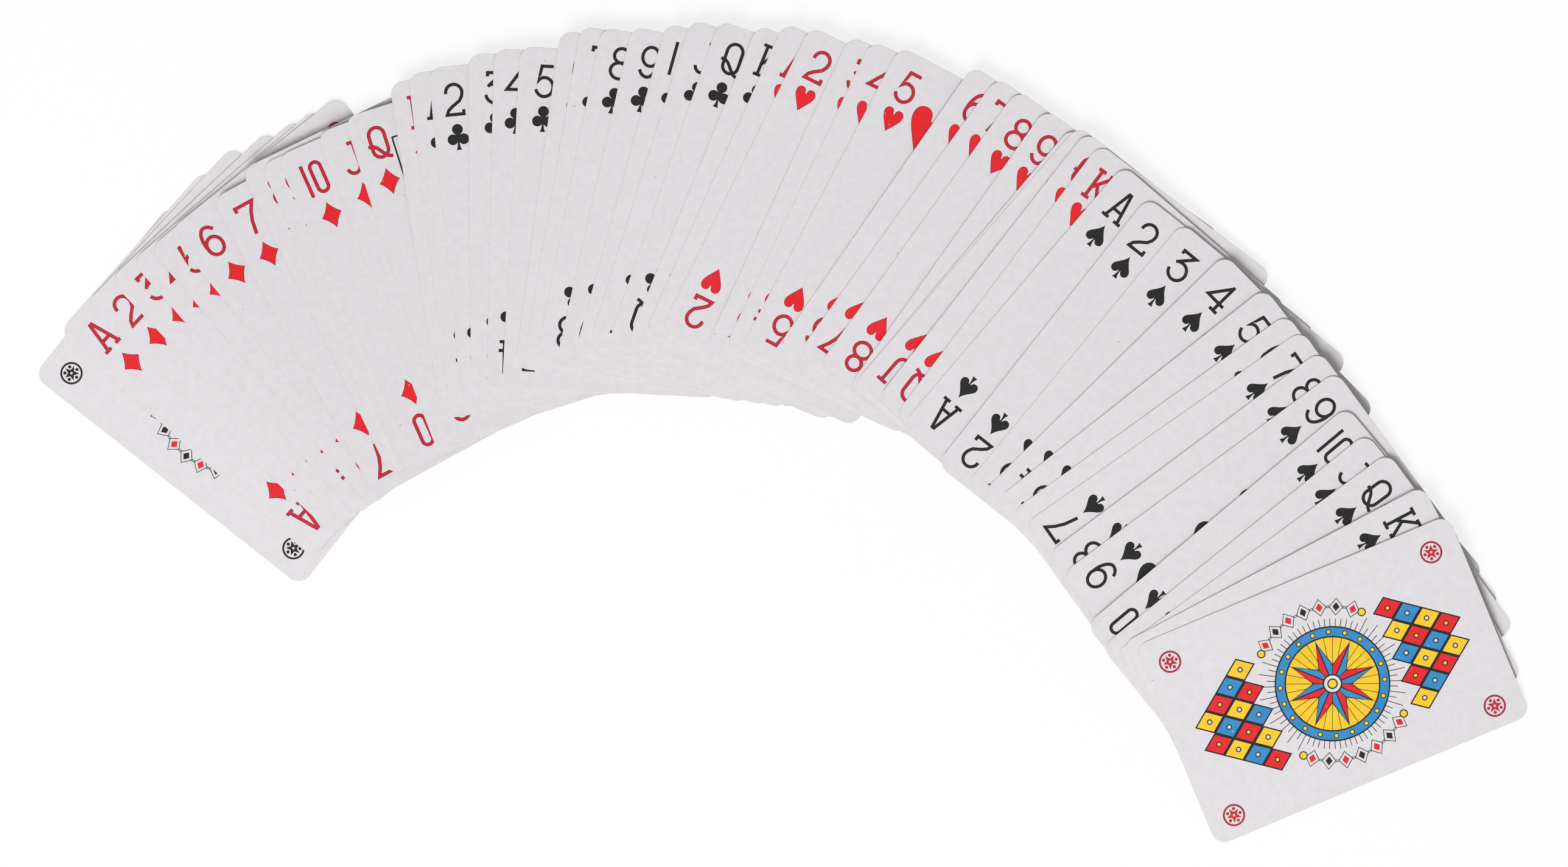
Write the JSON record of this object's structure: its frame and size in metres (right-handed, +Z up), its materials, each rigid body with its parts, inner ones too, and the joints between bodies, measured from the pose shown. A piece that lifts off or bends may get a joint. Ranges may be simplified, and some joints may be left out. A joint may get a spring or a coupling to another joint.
{
  "type": "playing card deck",
  "caption": "Deck of bridge-size playing cards with jokers, face up, drawn out into a curved ribbon spread; each card can be drawn out of it",
  "frame": {"origin": "the middle of the spread's box in plan, on the table that the cards lie on", "axes": "+Z up from the table, through the cards' faces; +X along the spread, from the lowest card's side to the top card's; +Y towards the outside of the arc, up the page as the cards read"},
  "size_m": [0.3894, 0.2144, 0.0071],
  "materials": {
    "card_stock": "satin"
  },
  "bodies": {
    "joker_black": {"joker_black": "card_stock"},
    "ace_of_diamonds": {"ace_of_diamonds": "card_stock"},
    "two_of_diamonds": {"two_of_diamonds": "card_stock"},
    "three_of_diamonds": {"three_of_diamonds": "card_stock"},
    "four_of_diamonds": {"four_of_diamonds": "card_stock"},
    "five_of_diamonds": {"five_of_diamonds": "card_stock"},
    "six_of_diamonds": {"six_of_diamonds": "card_stock"},
    "seven_of_diamonds": {"seven_of_diamonds": "card_stock"},
    "eight_of_diamonds": {"eight_of_diamonds": "card_stock"},
    "nine_of_diamonds": {"nine_of_diamonds": "card_stock"},
    "ten_of_diamonds": {"ten_of_diamonds": "card_stock"},
    "jack_of_diamonds": {"jack_of_diamonds": "card_stock"},
    "queen_of_diamonds": {"queen_of_diamonds": "card_stock"},
    "king_of_diamonds": {"king_of_diamonds": "card_stock"},
    "ace_of_clubs": {"ace_of_clubs": "card_stock"},
    "two_of_clubs": {"two_of_clubs": "card_stock"},
    "three_of_clubs": {"three_of_clubs": "card_stock"},
    "four_of_clubs": {"four_of_clubs": "card_stock"},
    "five_of_clubs": {"five_of_clubs": "card_stock"},
    "six_of_clubs": {"six_of_clubs": "card_stock"},
    "seven_of_clubs": {"seven_of_clubs": "card_stock"},
    "eight_of_clubs": {"eight_of_clubs": "card_stock"},
    "nine_of_clubs": {"nine_of_clubs": "card_stock"},
    "ten_of_clubs": {"ten_of_clubs": "card_stock"},
    "jack_of_clubs": {"jack_of_clubs": "card_stock"},
    "queen_of_clubs": {"queen_of_clubs": "card_stock"},
    "king_of_clubs": {"king_of_clubs": "card_stock"},
    "ace_of_hearts": {"ace_of_hearts": "card_stock"},
    "two_of_hearts": {"two_of_hearts": "card_stock"},
    "three_of_hearts": {"three_of_hearts": "card_stock"},
    "four_of_hearts": {"four_of_hearts": "card_stock"},
    "five_of_hearts": {"five_of_hearts": "card_stock"},
    "six_of_hearts": {"six_of_hearts": "card_stock"},
    "seven_of_hearts": {"seven_of_hearts": "card_stock"},
    "eight_of_hearts": {"eight_of_hearts": "card_stock"},
    "nine_of_hearts": {"nine_of_hearts": "card_stock"},
    "ten_of_hearts": {"ten_of_hearts": "card_stock"},
    "jack_of_hearts": {"jack_of_hearts": "card_stock"},
    "queen_of_hearts": {"queen_of_hearts": "card_stock"},
    "king_of_hearts": {"king_of_hearts": "card_stock"},
    "ace_of_spades": {"ace_of_spades": "card_stock"},
    "two_of_spades": {"two_of_spades": "card_stock"},
    "three_of_spades": {"three_of_spades": "card_stock"},
    "four_of_spades": {"four_of_spades": "card_stock"},
    "five_of_spades": {"five_of_spades": "card_stock"},
    "six_of_spades": {"six_of_spades": "card_stock"},
    "seven_of_spades": {"seven_of_spades": "card_stock"},
    "eight_of_spades": {"eight_of_spades": "card_stock"},
    "nine_of_spades": {"nine_of_spades": "card_stock"},
    "ten_of_spades": {"ten_of_spades": "card_stock"},
    "jack_of_spades": {"jack_of_spades": "card_stock"},
    "queen_of_spades": {"queen_of_spades": "card_stock"},
    "king_of_spades": {"king_of_spades": "card_stock"},
    "joker_red": {"joker_red": "card_stock"}
  },
  "joints": [
    {"name": "draw_ace_of_diamonds", "type": "slide", "parent": "joker_black", "child": "ace_of_diamonds", "axis": [-0.7461, 0.6659, 0], "range_m": [0, 0.102]},
    {"name": "draw_two_of_diamonds", "type": "slide", "parent": "joker_black", "child": "two_of_diamonds", "axis": [-0.7343, 0.6788, 0], "range_m": [0, 0.102]},
    {"name": "draw_three_of_diamonds", "type": "slide", "parent": "joker_black", "child": "three_of_diamonds", "axis": [-0.6884, 0.7254, 0], "range_m": [0, 0.102]},
    {"name": "draw_four_of_diamonds", "type": "slide", "parent": "joker_black", "child": "four_of_diamonds", "axis": [-0.6593, 0.7518, 0], "range_m": [0, 0.102]},
    {"name": "draw_five_of_diamonds", "type": "slide", "parent": "joker_black", "child": "five_of_diamonds", "axis": [-0.6494, 0.7604, 0], "range_m": [0, 0.102]},
    {"name": "draw_six_of_diamonds", "type": "slide", "parent": "joker_black", "child": "six_of_diamonds", "axis": [-0.6293, 0.7771, 0], "range_m": [0, 0.102]},
    {"name": "draw_seven_of_diamonds", "type": "slide", "parent": "joker_black", "child": "seven_of_diamonds", "axis": [-0.481, 0.8767, 0], "range_m": [0, 0.102]},
    {"name": "draw_eight_of_diamonds", "type": "slide", "parent": "joker_black", "child": "eight_of_diamonds", "axis": [-0.4384, 0.8988, 0], "range_m": [0, 0.102]},
    {"name": "draw_nine_of_diamonds", "type": "slide", "parent": "joker_black", "child": "nine_of_diamonds", "axis": [-0.4187, 0.9081, 0], "range_m": [0, 0.102]},
    {"name": "draw_ten_of_diamonds", "type": "slide", "parent": "joker_black", "child": "ten_of_diamonds", "axis": [-0.4067, 0.9135, 0], "range_m": [0, 0.102]},
    {"name": "draw_jack_of_diamonds", "type": "slide", "parent": "joker_black", "child": "jack_of_diamonds", "axis": [-0.3584, 0.9336, 0], "range_m": [0, 0.102]},
    {"name": "draw_queen_of_diamonds", "type": "slide", "parent": "joker_black", "child": "queen_of_diamonds", "axis": [-0.3007, 0.9537, 0], "range_m": [0, 0.102]},
    {"name": "draw_king_of_diamonds", "type": "slide", "parent": "joker_black", "child": "king_of_diamonds", "axis": [-0.1521, 0.9884, 0], "range_m": [0, 0.102]},
    {"name": "draw_ace_of_clubs", "type": "slide", "parent": "joker_black", "child": "ace_of_clubs", "axis": [-0.1175, 0.9931, 0], "range_m": [0, 0.102]},
    {"name": "draw_two_of_clubs", "type": "slide", "parent": "joker_black", "child": "two_of_clubs", "axis": [-0.1002, 0.995, 0], "range_m": [0, 0.102]},
    {"name": "draw_three_of_clubs", "type": "slide", "parent": "joker_black", "child": "three_of_clubs", "axis": [-0.0087, 1, 0], "range_m": [0, 0.102]},
    {"name": "draw_four_of_clubs", "type": "slide", "parent": "joker_black", "child": "four_of_clubs", "axis": [0.0218, 0.9998, 0], "range_m": [0, 0.102]},
    {"name": "draw_five_of_clubs", "type": "slide", "parent": "joker_black", "child": "five_of_clubs", "axis": [0.0523, 0.9986, 0], "range_m": [0, 0.102]},
    {"name": "draw_six_of_clubs", "type": "slide", "parent": "joker_black", "child": "six_of_clubs", "axis": [0.1349, 0.9909, 0], "range_m": [0, 0.102]},
    {"name": "draw_seven_of_clubs", "type": "slide", "parent": "joker_black", "child": "seven_of_clubs", "axis": [0.1693, 0.9856, 0], "range_m": [0, 0.102]},
    {"name": "draw_eight_of_clubs", "type": "slide", "parent": "joker_black", "child": "eight_of_clubs", "axis": [0.1951, 0.9808, 0], "range_m": [0, 0.102]},
    {"name": "draw_nine_of_clubs", "type": "slide", "parent": "joker_black", "child": "nine_of_clubs", "axis": [0.2207, 0.9753, 0], "range_m": [0, 0.102]},
    {"name": "draw_ten_of_clubs", "type": "slide", "parent": "joker_black", "child": "ten_of_clubs", "axis": [0.2672, 0.9636, 0], "range_m": [0, 0.102]},
    {"name": "draw_jack_of_clubs", "type": "slide", "parent": "joker_black", "child": "jack_of_clubs", "axis": [0.3007, 0.9537, 0], "range_m": [0, 0.102]},
    {"name": "draw_queen_of_clubs", "type": "slide", "parent": "joker_black", "child": "queen_of_clubs", "axis": [0.3256, 0.9455, 0], "range_m": [0, 0.102]},
    {"name": "draw_king_of_clubs", "type": "slide", "parent": "joker_black", "child": "king_of_clubs", "axis": [0.3786, 0.9255, 0], "range_m": [0, 0.102]},
    {"name": "draw_ace_of_hearts", "type": "slide", "parent": "joker_black", "child": "ace_of_hearts", "axis": [0.4107, 0.9118, 0], "range_m": [0, 0.102]},
    {"name": "draw_two_of_hearts", "type": "slide", "parent": "joker_black", "child": "two_of_hearts", "axis": [0.4423, 0.8969, 0], "range_m": [0, 0.102]},
    {"name": "draw_three_of_hearts", "type": "slide", "parent": "joker_black", "child": "three_of_hearts", "axis": [0.4187, 0.9081, 0], "range_m": [0, 0.102]},
    {"name": "draw_four_of_hearts", "type": "slide", "parent": "joker_black", "child": "four_of_hearts", "axis": [0.4305, 0.9026, 0], "range_m": [0, 0.102]},
    {"name": "draw_five_of_hearts", "type": "slide", "parent": "joker_black", "child": "five_of_hearts", "axis": [0.4656, 0.885, 0], "range_m": [0, 0.102]},
    {"name": "draw_six_of_hearts", "type": "slide", "parent": "joker_black", "child": "six_of_hearts", "axis": [0.57, 0.8216, 0], "range_m": [0, 0.102]},
    {"name": "draw_seven_of_hearts", "type": "slide", "parent": "joker_black", "child": "seven_of_hearts", "axis": [0.5842, 0.8116, 0], "range_m": [0, 0.102]},
    {"name": "draw_eight_of_hearts", "type": "slide", "parent": "joker_black", "child": "eight_of_hearts", "axis": [0.5842, 0.8116, 0], "range_m": [0, 0.102]},
    {"name": "draw_nine_of_hearts", "type": "slide", "parent": "joker_black", "child": "nine_of_hearts", "axis": [0.5771, 0.8166, 0], "range_m": [0, 0.102]},
    {"name": "draw_ten_of_hearts", "type": "slide", "parent": "joker_black", "child": "ten_of_hearts", "axis": [0.6461, 0.7632, 0], "range_m": [0, 0.102]},
    {"name": "draw_jack_of_hearts", "type": "slide", "parent": "joker_black", "child": "jack_of_hearts", "axis": [0.6561, 0.7547, 0], "range_m": [0, 0.102]},
    {"name": "draw_queen_of_hearts", "type": "slide", "parent": "joker_black", "child": "queen_of_hearts", "axis": [0.6157, 0.788, 0], "range_m": [0, 0.102]},
    {"name": "draw_king_of_hearts", "type": "slide", "parent": "joker_black", "child": "king_of_hearts", "axis": [0.6018, 0.7986, 0], "range_m": [0, 0.102]},
    {"name": "draw_ace_of_spades", "type": "slide", "parent": "joker_black", "child": "ace_of_spades", "axis": [0.6494, 0.7604, 0], "range_m": [0, 0.102]},
    {"name": "draw_two_of_spades", "type": "slide", "parent": "joker_black", "child": "two_of_spades", "axis": [0.6191, 0.7853, 0], "range_m": [0, 0.102]},
    {"name": "draw_three_of_spades", "type": "slide", "parent": "joker_black", "child": "three_of_spades", "axis": [0.6361, 0.7716, 0], "range_m": [0, 0.102]},
    {"name": "draw_four_of_spades", "type": "slide", "parent": "joker_black", "child": "four_of_spades", "axis": [0.7133, 0.7009, 0], "range_m": [0, 0.102]},
    {"name": "draw_five_of_spades", "type": "slide", "parent": "joker_black", "child": "five_of_spades", "axis": [0.7853, 0.6191, 0], "range_m": [0, 0.102]},
    {"name": "draw_six_of_spades", "type": "slide", "parent": "joker_black", "child": "six_of_spades", "axis": [0.8116, 0.5842, 0], "range_m": [0, 0.102]},
    {"name": "draw_seven_of_spades", "type": "slide", "parent": "joker_black", "child": "seven_of_spades", "axis": [0.8192, 0.5736, 0], "range_m": [0, 0.102]},
    {"name": "draw_eight_of_spades", "type": "slide", "parent": "joker_black", "child": "eight_of_spades", "axis": [0.8013, 0.5983, 0], "range_m": [0, 0.102]},
    {"name": "draw_nine_of_spades", "type": "slide", "parent": "joker_black", "child": "nine_of_spades", "axis": [0.8039, 0.5948, 0], "range_m": [0, 0.102]},
    {"name": "draw_ten_of_spades", "type": "slide", "parent": "joker_black", "child": "ten_of_spades", "axis": [0.766, 0.6428, 0], "range_m": [0, 0.102]},
    {"name": "draw_jack_of_spades", "type": "slide", "parent": "joker_black", "child": "jack_of_spades", "axis": [0.7771, 0.6293, 0], "range_m": [0, 0.102]},
    {"name": "draw_queen_of_spades", "type": "slide", "parent": "joker_black", "child": "queen_of_spades", "axis": [0.8064, 0.5913, 0], "range_m": [0, 0.102]},
    {"name": "draw_king_of_spades", "type": "slide", "parent": "joker_black", "child": "king_of_spades", "axis": [0.885, 0.4656, 0], "range_m": [0, 0.102]},
    {"name": "draw_joker_red", "type": "slide", "parent": "joker_black", "child": "joker_red", "axis": [0.9222, 0.3867, 0], "range_m": [0, 0.102]}
  ]
}
